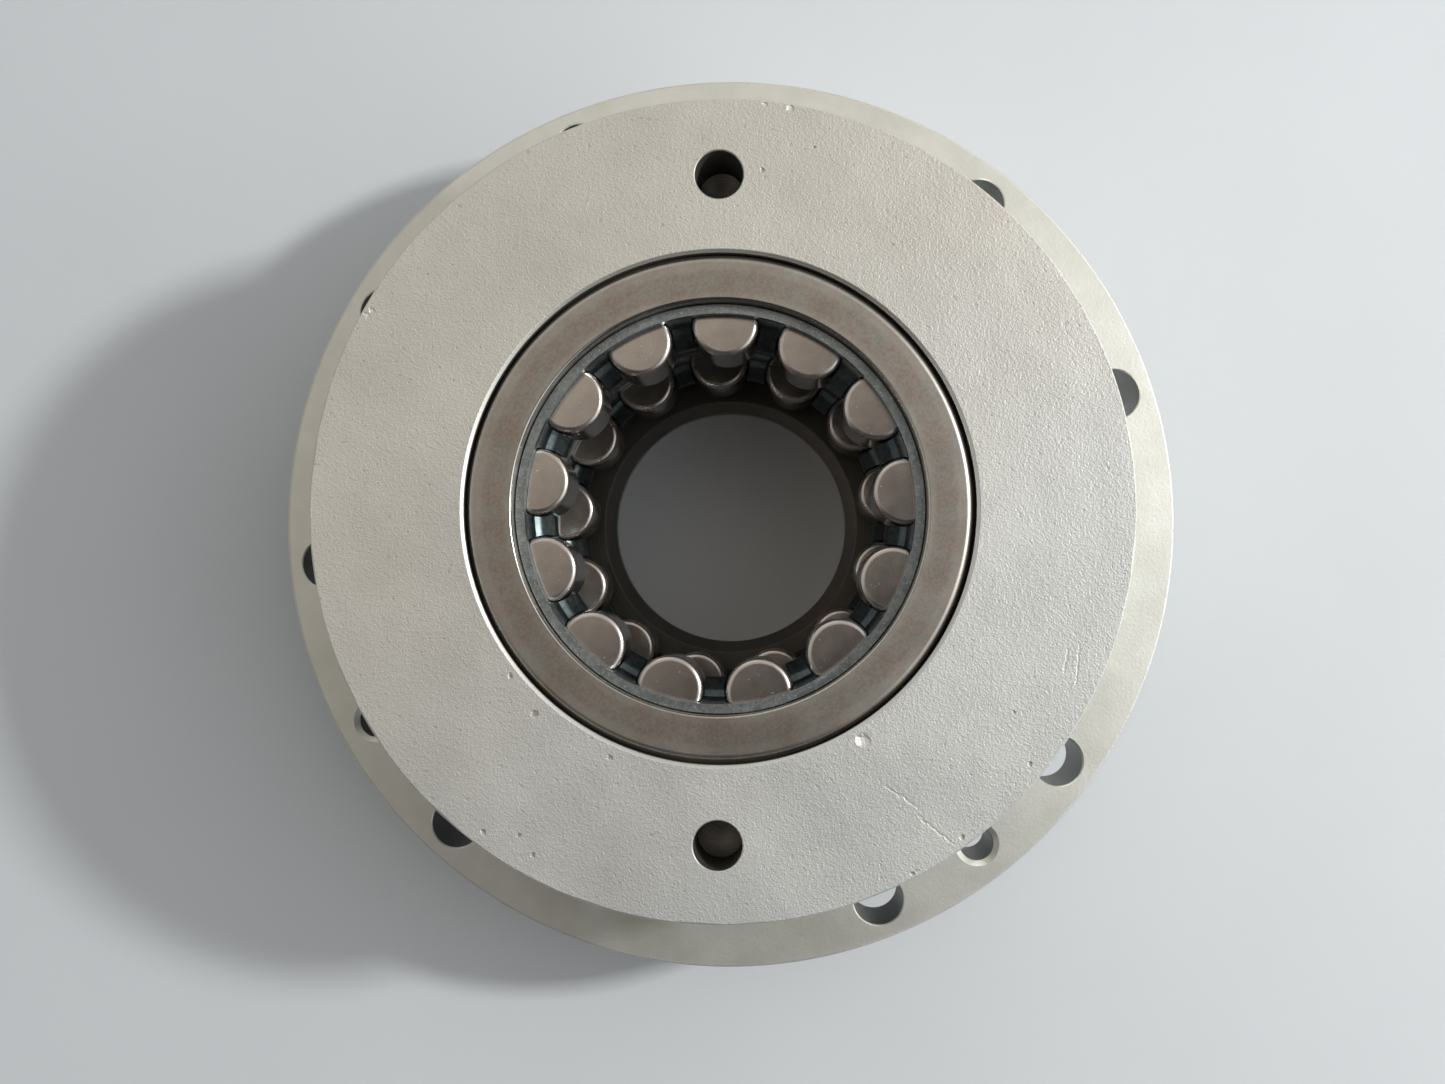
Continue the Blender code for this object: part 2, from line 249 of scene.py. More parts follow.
class Nodes:
    """A node tree that is written as expressions; node() is the one way to add a node."""

    def __init__(self, tree):
        self.tree = tree
        self.tree.nodes.clear()

    def node(self, kind, settings=None, sockets=None, output=0):
        """Add a node: its settings first, then its sockets' values or links. Gives one output."""
        added = self.tree.nodes.new(kind)
        for name, value in (settings or {}).items():
            setattr(added, name, value)
        for name, value in (sockets or {}).items():
            if isinstance(value, Socket):
                self.tree.links.new(value.link, added.inputs[name])
            else:
                added.inputs[name].default_value = value
        return Socket(self, added.outputs[output]) if added.outputs else None

    def math(self, operation, first, second):
        """One Math node on two numbers."""
        return self.node("ShaderNodeMath", {"operation": operation}, {0: first, 1: second})

    def place(self):
        """Where a surface point is, on the piece's own axes."""
        return self.node("ShaderNodeTexCoord", output="Object")

    def vector(self, operation, *vectors, output="Vector"):
        """One Vector Math node on one to three vectors."""
        return self.node("ShaderNodeVectorMath", {"operation": operation}, dict(enumerate(vectors)), output)

    def measure(self, operation, *vectors):
        """A Vector Math node that gives a number, such as a length."""
        return self.vector(operation, *vectors, output="Value")

    def height(self, place):
        """How high a place is."""
        return self.node("ShaderNodeSeparateXYZ", None, {"Vector": place}, "Z")

    def noise(self, vector, size, detail=2.0, rough=0.5):
        """Smooth noise from 0 to 1 whose blobs are about this size."""
        values = {"Vector": vector, "Scale": 1.0 / size, "Detail": detail, "Roughness": rough}
        return self.node("ShaderNodeTexNoise", None, values)

    def radius(self, place):
        """How far a place is from its upright axis."""
        return self.measure("LENGTH", self.vector("MULTIPLY", place, (1.0, 1.0, 0.0)))

    def lay(self, place, pitch):
        """Noise in fine lines round an upright axis, spaced by this pitch along radius and height."""
        line = (self.radius(place) + self.height(place)) / pitch
        values = {"W": line, "Scale": 1.0, "Detail": 3.0}
        return self.node("ShaderNodeTexNoise", {"noise_dimensions": "1D"}, values)

    def rise(self, value, low, high):
        """0 below low, 1 above high, smooth between."""
        values = {"Value": value, "From Min": low, "From Max": high}
        return self.node("ShaderNodeMapRange", {"interpolation_type": "SMOOTHSTEP"}, values)

    def ragged(self, place, size, amount):
        """A place pushed to and fro in the level by noise, so that a round mark comes out ragged."""
        values = {"Vector": place, "Scale": 1.0 / size, "Detail": 2.0}
        noises = self.node("ShaderNodeTexNoise", None, values, "Color")
        push = self.vector("SUBTRACT", noises, (0.5, 0.5, 0.5))
        return self.vector("MULTIPLY_ADD", push, (amount, amount, 0.0), place)

    def near(self, place, centre, radius):
        """1 close to a point, 0 past this radius."""
        distance = self.measure("DISTANCE", place, centre)
        return 1.0 - self.rise(distance, ROUND_MARK_FLOOR * radius, radius)

    def near_line(self, place, start, end, width):
        """1 on the line between two points, 0 past this width from the line's nearest point."""
        along = Vector(end) - Vector(start)
        offset = self.vector("SUBTRACT", place, start)
        reach = self.measure("DOT_PRODUCT", offset, along / along.length_squared)
        share = self.node("ShaderNodeClamp", None, {"Value": reach})
        foot = self.node("ShaderNodeVectorMath", {"operation": "SCALE"}, {0: along, "Scale": share})
        distance = self.measure("DISTANCE", offset, foot)
        return 1.0 - self.rise(distance, SCRATCH_FLOOR * width, width)

    def mix(self, share, first, second):
        """A colour between two colours."""
        values = {MIX_SHARE: share, MIX_FIRST: first, MIX_SECOND: second}
        return self.node("ShaderNodeMix", {"data_type": "RGBA"}, values, MIX_RESULT)

    def bump(self, height, depth):
        """A normal from a height in units of this depth."""
        return self.node("ShaderNodeBump", None, {"Height": height, "Distance": depth})


def new_finish(name):
    """An empty material and its nodes."""
    material = bpy.data.materials.new(name)
    material.use_nodes = True
    return material, Nodes(material.node_tree)


def surface(nodes, sockets):
    """End a material in one Principled shader with these sockets."""
    shader = nodes.node("ShaderNodeBsdfPrincipled", None, sockets)
    nodes.node("ShaderNodeOutputMaterial", None, {"Surface": shader})


def colour(red, green, blue):
    """A colour from its 0 to 255 screen values, as the linear values that a socket takes."""
    share = np.array((red, green, blue)) / 255.0
    linear = np.where(share <= 0.04045, share / 12.92, ((share + 0.055) / 1.055) ** 2.4)
    return (*linear.tolist(), 1.0)


def blasted_finish():
    """The top face: light metal, blasted to a fine grain and slightly wavy, with pits, dents and scratches.

    Its tint turns from warm to cool across the face, and its warm side, at the upper left, is a little
    darker: painted shade. Dents and scratches are bared bright; pits and pocks are painted darker, as shade
    in these hollows.
    """
    material, nodes = new_finish("blasted_face")
    place = nodes.vector("MULTIPLY", nodes.place(), (1.0, 1.0, 0.0))
    grain = nodes.noise(place, 0.34 * MM, detail=1.0)
    pebble = nodes.rise(nodes.noise(place, 0.8 * MM, detail=1.0), 0.42, 0.7)
    pock = nodes.rise(nodes.noise(place, 1.2 * MM), 0.62, 0.74)
    wave = nodes.noise(place, 17.0 * MM)
    cloud = nodes.noise(place, 30.0 * MM, detail=4.0, rough=0.6)
    ragged = nodes.ragged(place, 0.9 * MM, 0.9 * MM)
    bruise = 0.0
    for x, y, radius in DENTS:
        dent = nodes.near(ragged, (x * MM, y * MM, 0.0), radius * MM)
        bruise = bruise + dent * (DENT_DEPTH_SHARE * radius)
    for start, end in SCRATCHES:
        ends = [(x * MM, y * MM, 0.0) for x, y in (start, end)]
        bruise = bruise + nodes.near_line(ragged, *ends, SCRATCH_WIDTH) * SCRATCH_DEPTH
    pit = 0.0
    for x, y, radius in PITS:
        pit = pit + nodes.near(ragged, (x * MM, y * MM, 0.0), radius * MM)
    tone = nodes.rise(grain * 0.35 + cloud * 0.65, 0.3, 0.7)
    shade = nodes.mix(tone, colour(199, 198, 192), colour(223, 222, 216))
    # Tint from warm at the upper left to cool at the lower right; the warm side is a little darker: painted
    # shade
    across = nodes.measure("DOT_PRODUCT", place, TINT_AND_SHADE_WAY)
    drift = nodes.rise(across + nodes.noise(place, 40.0 * MM) * (60.0 * MM), -30.0 * MM, 90.0 * MM)
    tint = nodes.mix(drift, colour(217, 209, 193), colour(208, 212, 214))
    tinted_and_shaded = nodes.mix(0.4, shade, tint)
    bared = nodes.mix(nodes.rise(bruise, 0.02, 0.2), tinted_and_shaded, colour(238, 235, 229))
    # Pits and pocks are painted darker: painted shade in these hollows
    pit_shaded = nodes.mix(pit * 0.6 + pock * 0.25, bared, colour(150, 143, 135))
    # Heights in millimetres
    relief = grain * 0.07 + pebble * 0.02 + wave * 0.34 - pock * 0.03
    height = relief - bruise - pit * PIT_DEPTH
    surface(nodes, {
        "Base Color": pit_shaded,
        "Metallic": 0.66,
        "Roughness": 0.52 + cloud * 0.14,
        "Normal": nodes.bump(height, MM),
    })
    return material


def cast_finish():
    """Flange and walls: the same light metal, smoother, ivory and satin."""
    material, nodes = new_finish("satin_casting")
    place = nodes.place()
    grain = nodes.noise(place, 0.5 * MM, detail=3.0, rough=0.6)
    cloud = nodes.noise(place, 11.0 * MM, detail=4.0, rough=0.6)
    shade = nodes.mix(nodes.rise(cloud, 0.3, 0.7), colour(230, 231, 222), colour(239, 240, 233))
    surface(nodes, {
        "Base Color": shade,
        "Metallic": 0.88,
        "Roughness": 0.4 + cloud * 0.07,
        "Normal": nodes.bump(grain, 0.03 * MM),
    })
    return material


def machined_finish(name, dark, light):
    """Bores, drilled walls and the underside: turned light metal with fine tool marks in circles, between
    two given colours; the darker colours given for walls inside the bore and holes are painted shade.
    """
    material, nodes = new_finish(name)
    place = nodes.place()
    lay = nodes.lay(place, 0.3 * MM)
    cloud = nodes.noise(place, 15.0 * MM, detail=3.0, rough=0.6)
    surface(nodes, {
        "Base Color": nodes.mix(nodes.rise(lay * 0.6 + cloud * 0.4, 0.25, 0.75), dark, light),
        "Metallic": 0.8,
        "Roughness": 0.32 + lay * 0.15,
        "Normal": nodes.bump(lay, 0.01 * MM),
    })
    return material


def ring_finish(name, dark, light, rough):
    """Ground bearing steel: a fine lay in circles round the shaft axis, with a brown and grey-green patina.

    Two bands beside the edges of a ring's face are painted lighter, unevenly: a painted sheen.
    """
    material, nodes = new_finish(name)
    place = nodes.place()
    lay = nodes.lay(place, 0.17 * MM)
    cloud = nodes.noise(place, 9.0 * MM, detail=3.0, rough=0.6)
    patch = nodes.rise(nodes.noise(place, 5.0 * MM, detail=4.0, rough=0.65), 0.4, 0.62)
    patina = nodes.mix(patch, colour(170, 150, 136), colour(168, 167, 156))
    grain = nodes.noise(place, 0.55 * MM, rough=0.6)
    shade = nodes.mix(nodes.rise(lay * 0.2 + grain * 0.6 + cloud * 0.2, 0.38, 0.62), dark, light)
    radius = nodes.radius(place)
    inner = 1.0 - nodes.rise(radius, *INNER_SHEEN_BAND)
    outer = nodes.rise(radius, *OUTER_SHEEN_BAND)
    stained = nodes.mix(0.42, shade, patina)
    surface(nodes, {
        # Painted sheen: the bands beside the face's edges are mixed towards a light grey
        "Base Color": nodes.mix((inner + outer) * cloud * 0.6, stained, colour(205, 203, 196)),
        "Metallic": 1.0,
        "Roughness": rough + cloud * 0.12,
        "Normal": nodes.bump(lay, 0.006 * MM),
    })
    return material


def cage_finish():
    """Pressed sheet steel: bluish and mottled, lighter with light flecks on the rims, and painted darker on
    the bars as shade between the rollers.
    """
    material, nodes = new_finish("pressed_sheet")
    place = nodes.place()
    skin = nodes.noise(place, 0.9 * MM, detail=4.0, rough=0.65)
    cloud = nodes.noise(place, 5.0 * MM)
    mottle = nodes.rise(skin * 0.6 + cloud * 0.4, 0.3, 0.7)
    rim_share = nodes.rise(nodes.radius(place), CAGE_RIM_RADIUS - CAGE_WALL, CAGE_RIM_RADIUS - CAGE_WALL / 2)
    fleck = nodes.rise(nodes.noise(place, 0.35 * MM, detail=1.0), 0.58, 0.72)
    rim = nodes.mix(mottle, colour(136, 144, 147), colour(178, 186, 188))
    # The bars are painted darker than the rims: painted shade between the rollers
    bar = nodes.mix(mottle, colour(64, 71, 72), colour(96, 105, 107))
    shade = nodes.mix(rim_share, bar, nodes.mix(fleck, rim, colour(204, 214, 214)))
    surface(nodes, {
        "Base Color": shade,
        "Metallic": 1.0,
        "Roughness": 0.3 + skin * 0.16,
        "Normal": nodes.bump(skin, 0.02 * MM),
    })
    return material


def roller_finish(name, dark, light, rough):
    """Polished bearing steel, with a faint ground lay round each roller's own axis and a few less shiny
    specks.
    """
    material, nodes = new_finish(name)
    own = nodes.node("ShaderNodeAttribute", {"attribute_name": OWN_PLACE}, None, "Vector")
    lay = nodes.lay(own, 0.14 * MM)
    place = nodes.place()
    cloud = nodes.noise(place, 3.0 * MM, detail=3.0, rough=0.6)
    speck = nodes.rise(nodes.noise(place, 0.5 * MM, detail=1.0), 0.75, 0.8)
    shade = nodes.mix(nodes.rise(lay * 0.5 + cloud * 0.5, 0.3, 0.7), dark, light)
    surface(nodes, {
        "Base Color": shade,
        "Metallic": 0.97 - speck * 0.5,
        "Roughness": rough + cloud * 0.08 + speck * 0.25,
        "Normal": nodes.bump(lay, 0.002 * MM),
    })
    return material


def paper_finish():
    """The pale floor: plain paper, faintly uneven."""
    material, nodes = new_finish("pale_floor")
    cloud = nodes.noise(nodes.place(), 60.0 * MM, detail=3.0)
    surface(nodes, {
        "Base Color": nodes.mix(cloud, colour(211, 216, 220), colour(219, 224, 228)),
        "Roughness": 0.7,
    })
    return material


def rounded(corners, closed=True):
    """Profile points (radius, height) of a polygon whose corners are rounded off.

    Each row of corners is (radius, height, round). The arc meets both edges of its corner, round / tan(half
    its angle) away from it, and swings evenly from one to the other. An open profile keeps its two ends.
    """
    corners = np.array(corners)
    points = corners[:, :2]
    size = corners[:, 2:]
    back = np.roll(points, 1, axis=0) - points
    ahead = np.roll(points, -1, axis=0) - points
    back /= np.linalg.norm(back, axis=1, keepdims=True)
    ahead /= np.linalg.norm(ahead, axis=1, keepdims=True)
    half = np.arccos(np.clip((back * ahead).sum(axis=1, keepdims=True), -1.0, 1.0)) / 2
    inward = (back + ahead) / np.linalg.norm(back + ahead, axis=1, keepdims=True)
    middle = points + inward * size / np.sin(half)
    first = points + back * size / np.tan(half) - middle
    last = points + ahead * size / np.tan(half) - middle
    sweep = np.pi - 2 * half
    share = np.linspace(0.0, 1.0, ARC_STEPS + 1)[None, :]
    near = (np.sin((1 - share) * sweep) / np.sin(sweep))[..., None]
    far = (np.sin(share * sweep) / np.sin(sweep))[..., None]
    arcs = middle[:, None] + near * first[:, None] + far * last[:, None]
    if closed:
        return arcs.reshape(-1, 2)
    return np.concatenate((points[:1], arcs[1:-1].reshape(-1, 2), points[-1:]))


def grid_quads(rows, columns, wrap_rows):
    """Four corner numbers for each cell of a grid that closes on itself sideways, and endways if asked."""
    row = np.arange(rows if wrap_rows else rows - 1)[:, None]
    column = np.arange(columns)[None, :]
    below = (row + 1) % rows
    beside = (column + 1) % columns
    cells = (
        row * columns + column,
        below * columns + column,
        below * columns + beside,
        row * columns + beside,
    )
    return np.stack(np.broadcast_arrays(*cells), axis=-1).reshape(-1, 4)


def even_angles(columns):
    """The angles of this many even steps round a full turn."""
    return np.arange(columns) * FULL_TURN / columns


def carried_round(profile, angle, centre=(0.0, 0.0)):
    """Points of a profile carried round an upright axis, row after row.

    x = centre x + radius * cos(angle), y = centre y + radius * sin(angle), z = height, for every profile
    point (radius, height) and every angle. The angles are one row for all, or a row for each point.
    """
    radius = profile[:, :1]
    x = centre[0] + radius * np.cos(angle)
    y = centre[1] + radius * np.sin(angle)
    z = np.broadcast_to(profile[:, 1:], x.shape)
    return np.stack((x, y, z), axis=-1).reshape(-1, 3)


def turned(profile, columns):
    """Points and faces of a closed profile carried round the shaft axis.

    The profile runs down its outer side first, so the faces look outwards.
    """
    points = carried_round(profile, even_angles(columns))
    return points, [grid_quads(len(profile), columns, True)]


def turned_solid(profile, columns, centre=(0.0, 0.0)):
    """Points and faces of an open profile that starts and ends on its axis, carried round it.

    The two ends are one point each, joined to their neighbours by a fan of triangles.
    """
    ring = profile[1:-1]
    points = carried_round(ring, even_angles(columns), centre)
    poles = np.array([(*centre, profile[0, 1]), (*centre, profile[-1, 1])])
    column = np.arange(columns)
    beside = (column + 1) % columns
    top = len(points)
    last_row = (len(ring) - 1) * columns
    upper_fan = np.stack((np.full(columns, top), column, beside), axis=-1)
    lower_fan = np.stack((np.full(columns, top + 1), last_row + beside, last_row + column), axis=-1)
    quads = grid_quads(len(ring), columns, False)
    return np.concatenate((points, poles)), [quads, upper_fan, lower_fan]


def new_object(name, points, faces, materials, bands=None):
    """An object at the origin with this mesh; bands gives each face its place in materials."""
    mesh = bpy.data.meshes.new(name)
    mesh.from_pydata(points.tolist(), [], [face for group in faces for face in group.tolist()])
    for material in materials:
        mesh.materials.append(material)
    if bands is not None:
        mesh.polygons.foreach_set("material_index", bands.astype(np.int32))
    piece = bpy.data.objects.new(name, mesh)
    bpy.context.scene.collection.objects.link(piece)
    return piece


def smooth(piece):
    """Shade smooth except across sharp corners. Flat faces stay flat beside their rounded edges."""
    piece.data.shade_smooth()
    piece.data.set_sharp_from_angle(angle=SMOOTH_ANGLE)
    flats = piece.modifiers.new("flats", "WEIGHTED_NORMAL")
    flats.mode = "FACE_AREA"
    flats.keep_sharp = True


def dress(piece, node, body):
    """A piece stands for a CAD node, whose part it hides, and rides on its body."""
    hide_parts(node)
    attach(piece, body)


def bore(piece, cutter):
    """Take a cutter's shape out of a piece for good, and remove the cutter."""
    cut = piece.modifiers.new("holes", "BOOLEAN")
    cut.operation = "DIFFERENCE"
    cut.solver = "EXACT"
    cut.material_mode = "TRANSFER"
    cut.object = cutter
    evaluated = piece.evaluated_get(bpy.context.evaluated_depsgraph_get())
    mesh = bpy.data.meshes.new_from_object(evaluated)
    piece.modifiers.clear()
    piece.data = mesh
    bpy.data.objects.remove(cutter)


def hole_profile(radius, edge, mouth, floor, point):
    """A drill's outline from over the mouth down a 45-degree chamfer and the wall to its point."""
    over = mouth + CUT_MARGIN
    return rounded([
        (0.0, over, 0.0),
        (radius + edge + CUT_MARGIN, over, SHARP_EDGE),
        (radius, mouth - edge, SOFT_EDGE),
        (radius, floor, SHARP_EDGE),
        (0.0, floor - point, 0.0),
    ], closed=False)


def make_hole_cutter(materials):
    """All the housing's holes as one cutter: turned drills, set round the shaft axis.

    The materials are for the holes' edges, for the walls that go through and for the blind ones; those of
    the walls are darker, as painted shade in the holes.
    """
    edge, through_wall, blind_wall = range(3)
    through = FLANGE_UNDER - CUT_MARGIN
    bolt = hole_profile(BOLT_HOLE_RADIUS, BOLT_HOLE_EDGE, FLANGE_TOP, through, CUT_MARGIN)
    jack = hole_profile(JACK_HOLE_RADIUS, JACK_HOLE_EDGE, FLANGE_TOP, through, CUT_MARGIN)
    face = hole_profile(FACE_HOLE_RADIUS, FACE_HOLE_EDGE, TOP, TOP - FACE_HOLE_DEPTH, DRILL_POINT)
    sets = (
        (bolt, BOLT_HOLES, BOLT_CIRCLE, through_wall),
        (jack, JACK_HOLES, BOLT_CIRCLE, through_wall),
        (face, FACE_HOLES, FACE_HOLE_CIRCLE, blind_wall),
    )
    all_points = []
    all_faces = []
    all_bands = []
    count = 0
    for profile, angles, circle, wall in sets:
        # Down a drill: two arcs with the chamfer between them, then the wall and the arc to its point
        rows = [edge] * (2 * ARC_STEPS + 1) + [wall] * (ARC_STEPS + 1)
        bands = np.concatenate((np.repeat(rows, HOLE_COLUMNS), np.full(2 * HOLE_COLUMNS, wall)))
        for angle in np.radians(angles):
            centre = (circle * np.cos(angle), circle * np.sin(angle))
            points, faces = turned_solid(profile, HOLE_COLUMNS, centre)
            all_points.append(points)
            all_faces.extend(group + count for group in faces)
            all_bands.append(bands)
            count += len(points)
    points = np.concatenate(all_points)
    bands = np.concatenate(all_bands)
    return new_object("hole_cutter", points, all_faces, materials, bands)


def make_housing():
    """The casting: boss, flange and spigot round one bore with a bottom shoulder, then its holes.

    Each row of corners ends with the finish of its arc and of the straight stretch after it. The arc of the
    flange's rim is blasted too. The boss's top edge is drawn in by a wear that is a product of three sines
    of the angle.
    """
    blasted, satin, machined, wall_shade, deep_wall_shade = range(5)
    flange_rim = (FLANGE_RADIUS, FLANGE_TOP, FLANGE_ROUND, satin)
    corners = [
        (BOSS_RADIUS - BOSS_EDGE, TOP, BOSS_EDGE_ROUND, blasted),
        (BOSS_RADIUS, TOP - BOSS_EDGE, BOSS_EDGE_ROUND, satin),
        (BOSS_RADIUS, FLANGE_TOP, ROOT_FILLET, satin),
        flange_rim,
        (FLANGE_RADIUS, FLANGE_UNDER, FLANGE_UNDER_EDGE, satin),
        (SPIGOT_RADIUS, FLANGE_UNDER, SOFT_EDGE, satin),
        (SPIGOT_RADIUS, SPIGOT_EDGE, SOFT_EDGE, satin),
        (SPIGOT_RADIUS - SPIGOT_EDGE, 0.0, SOFT_EDGE, machined),
        (SHOULDER_RADIUS + SHOULDER_UNDER_EDGE, 0.0, SOFT_EDGE, machined),
        (SHOULDER_RADIUS, SHOULDER_UNDER_EDGE, SOFT_EDGE, machined),
        # The bore's walls and shoulder take darker copies of the machined finish: painted shade in the bore
        (SHOULDER_RADIUS, SHOULDER_TOP - SHOULDER_CHAMFER, SOFT_EDGE, wall_shade),
        (SHOULDER_RADIUS + SHOULDER_CHAMFER, SHOULDER_TOP, SOFT_EDGE, deep_wall_shade),
        (BORE_RADIUS, SHOULDER_TOP, SOFT_EDGE, wall_shade),
        (BORE_RADIUS, TOP - BORE_EDGE, SOFT_EDGE, satin),
        (BORE_RADIUS + BORE_EDGE, TOP, SOFT_EDGE, blasted),
    ]
    finishes = np.array([[finish] * (ARC_STEPS + 1) for *_, finish in corners])
    finishes[corners.index(flange_rim), :-1] = blasted
    points, faces = turned(rounded([corner[:-1] for corner in corners]), HOUSING_COLUMNS)
    angle = even_angles(HOUSING_COLUMNS)
    wear = np.prod([np.sin(count * angle + phase) for count, phase in BOSS_WEAR_WAVES], axis=0)
    # A view of the boss's top edge in points
    worn = points.reshape(-1, HOUSING_COLUMNS, 3)[:ARC_STEPS + 1]
    worn[..., :2] *= (1.0 - BOSS_EDGE_WEAR / BOSS_RADIUS * np.abs(wear))[None, :, None]
    bands = np.repeat(finishes.ravel(), HOUSING_COLUMNS)
    materials = [
        blasted_finish(),
        cast_finish(),
        machined_finish("machined_base", colour(150, 143, 135), colour(184, 178, 170)),
        # Darker copies of the machined finish: painted shade on the walls in the bore and in the holes,
        # darkest on the shoulder and the through holes
        machined_finish("shaded_wall", colour(112, 109, 105), colour(146, 142, 138)),
        machined_finish("deep_shaded_wall", colour(78, 77, 72), colour(106, 105, 98)),
    ]
    housing = new_object("cast_housing", points, faces, materials, bands)
    bore(housing, make_hole_cutter([materials[satin], materials[deep_wall_shade], materials[wall_shade]]))
    smooth(housing)
    dress(housing, "housing", "housing")


def make_outer_ring(row, materials):
    """An outer ring: two inner ribs beside the raceway, with a ground relief in each corner.

    The ribs' edges at the ring's two ends are polished, and the rest is ground.
    """
    node = f"{row}_outer_ring"
    low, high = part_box(node)
    bottom = low.z
    top = high.z
    corners = [
        (RING_RADIUS - RING_EDGE_DEPTH, top, RING_EDGE_END_ROUND),
        (RING_RADIUS, top - RING_EDGE_LENGTH, RING_EDGE_SIDE_ROUND),
        (RING_RADIUS, bottom + RING_EDGE_LENGTH, RING_EDGE_SIDE_ROUND),
        (RING_RADIUS - RING_EDGE_DEPTH, bottom, RING_EDGE_END_ROUND),
        (RIB_RADIUS, bottom, RIB_EDGE),
        (RIB_RADIUS, bottom + RIB_WIDTH, RIB_CORNER),
        (RACEWAY_RADIUS, bottom + RIB_WIDTH, RELIEF),
        (RACEWAY_RADIUS, top - RIB_WIDTH, RELIEF),
        (RIB_RADIUS, top - RIB_WIDTH, RIB_CORNER),
        (RIB_RADIUS, top, RIB_EDGE),
    ]
    ground, polished = range(2)
    rib_ends = [number for number, (*_, edge) in enumerate(corners) if edge == RIB_EDGE]
    finishes = np.full((len(corners), ARC_STEPS + 1), ground)
    finishes[rib_ends, :-1] = polished
    bands = np.repeat(finishes.ravel(), RING_COLUMNS)
    points, faces = turned(rounded(corners), RING_COLUMNS)
    ring = new_object(f"{row}_race_ring", points, faces, materials, bands)
    smooth(ring)
    dress(ring, node, "housing")


def make_spacer(material):
    """The plain sleeve between the outer rings."""
    low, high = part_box("spacer_ring")
    corners = [
        (RING_RADIUS, high.z, SPACER_EDGE),
        (RING_RADIUS, low.z, SPACER_EDGE),
        (SPACER_BORE_RADIUS, low.z, SOFT_EDGE),
        (SPACER_BORE_RADIUS, high.z, SOFT_EDGE),
    ]
    points, faces = turned(rounded(corners), RING_COLUMNS)
    spacer = new_object("spacer_sleeve", points, faces, [material])
    smooth(spacer)
    dress(spacer, "spacer_ring", "housing")


def cage_line():
    """Half of a cage's middle line, from the window's end to the middle of a bar, evenly fine.

    The corners of the sheet are rounded by its bend, and the line is then read off at even steps of its
    own length, closer near the window's end, where the corner rounds.
    """
    bends = rounded([
        (CAGE_RIM_RADIUS, WINDOW_HALF, 0.0),
        (CAGE_RIM_RADIUS, BAR_TOP, CAGE_BEND),
        (*BAR_STEP_OUTER, CAGE_BEND),
        (*BAR_STEP_INNER, CAGE_BEND),
        (CAGE_BAR_RADIUS, BAR_FLAT, CAGE_BEND),
        (CAGE_BAR_RADIUS, 0.0, 0.0),
    ], closed=False)
    length = np.concatenate(([0.0], np.cumsum(np.linalg.norm(np.diff(bends, axis=0), axis=1))))
    even = np.linspace(WINDOW_CORNER, length[-1], CAGE_LINE_POINTS)
    corner = WINDOW_CORNER * (1.0 - np.cos(np.linspace(0.0, np.pi / 2, CAGE_CORNER_POINTS)))
    along = np.concatenate((corner, even[1:]))
    radius = np.interp(along, length, bends[:, 0])
    height = np.interp(along, length, bends[:, 1])
    return along, np.stack((radius, height), axis=-1)


def cage_rows():
    """Every row of a cage's middle line, as (radius, height) and as its reach past the window's end.

    The rims come first and last, with no reach, and the lower half mirrors the upper one.
    """
    along, half = cage_line()
    rim = np.linspace(CAGE_HALF_HEIGHT, WINDOW_HALF, CAGE_RIM_ROWS + 1)[:-1]
    rims = np.stack((np.full(CAGE_RIM_ROWS, CAGE_RIM_RADIUS), rim), axis=-1)
    upper = np.concatenate((rims, half))
    line = np.concatenate((upper, upper[-2::-1] * (1.0, -1.0)))
    reach = np.concatenate((np.zeros(CAGE_RIM_ROWS), along))
    return line, np.concatenate((reach, reach[-2::-1]))


def window_half_angle(radius, reach):
    """Half the angle of a cage's window in each row.

    It is that of the roller's circle with its clearance at the row's radius, by the cosine rule, less a
    round corner near the window's ends.
    """
    circle = ROLLER_RADIUS + WINDOW_CLEARANCE
    cosine = (radius ** 2 + PITCH_RADIUS ** 2 - circle ** 2) / (2 * radius * PITCH_RADIUS)
    short = np.clip(WINDOW_CORNER - reach, 0.0, None)
    corner = WINDOW_CORNER - np.sqrt(WINDOW_CORNER ** 2 - short ** 2)
    return np.arccos(cosine) - corner / radius


def cage_sheet(middle, turn):
    """Points and faces of a cage's middle sheet: full round at the rims, only bars between the windows.

    Columns are spread over each bar, then over each window, and each row has its own window angle.
    """
    line, reach = cage_rows()
    window = window_half_angle(line[:, 0], reach)[:, None]
    bar_share = np.linspace(0.0, 1.0, CAGE_BAR_COLUMNS + 1)[None, :-1]
    window_share = np.linspace(0.0, 1.0, CAGE_WINDOW_COLUMNS + 1)[None, :-1]
    bar = window + (PITCH - 2 * window) * bar_share
    gap = PITCH - window + 2 * window * window_share
    sector = np.concatenate((bar, gap), axis=1)
    angle = sector[:, None, :] + PITCH * np.arange(ROLLER_COUNT)[None, :, None] + turn
    angle = angle.reshape(len(line), -1)
    points = carried_round(line + (0.0, middle), angle)
    rows, columns = angle.shape
    quads = grid_quads(rows, columns, False).reshape(rows - 1, columns, 4)
    in_bar = np.tile(np.arange(CAGE_BAR_COLUMNS + CAGE_WINDOW_COLUMNS) < CAGE_BAR_COLUMNS, ROLLER_COUNT)
    row = np.arange(rows - 1)
    in_rim = (row < CAGE_RIM_ROWS) | (row >= rows - 1 - CAGE_RIM_ROWS)
    kept = quads[in_rim[:, None] | in_bar[None, :]]
    used, corners = np.unique(kept, return_inverse=True)
    return points[used], [corners.reshape(-1, 4)]


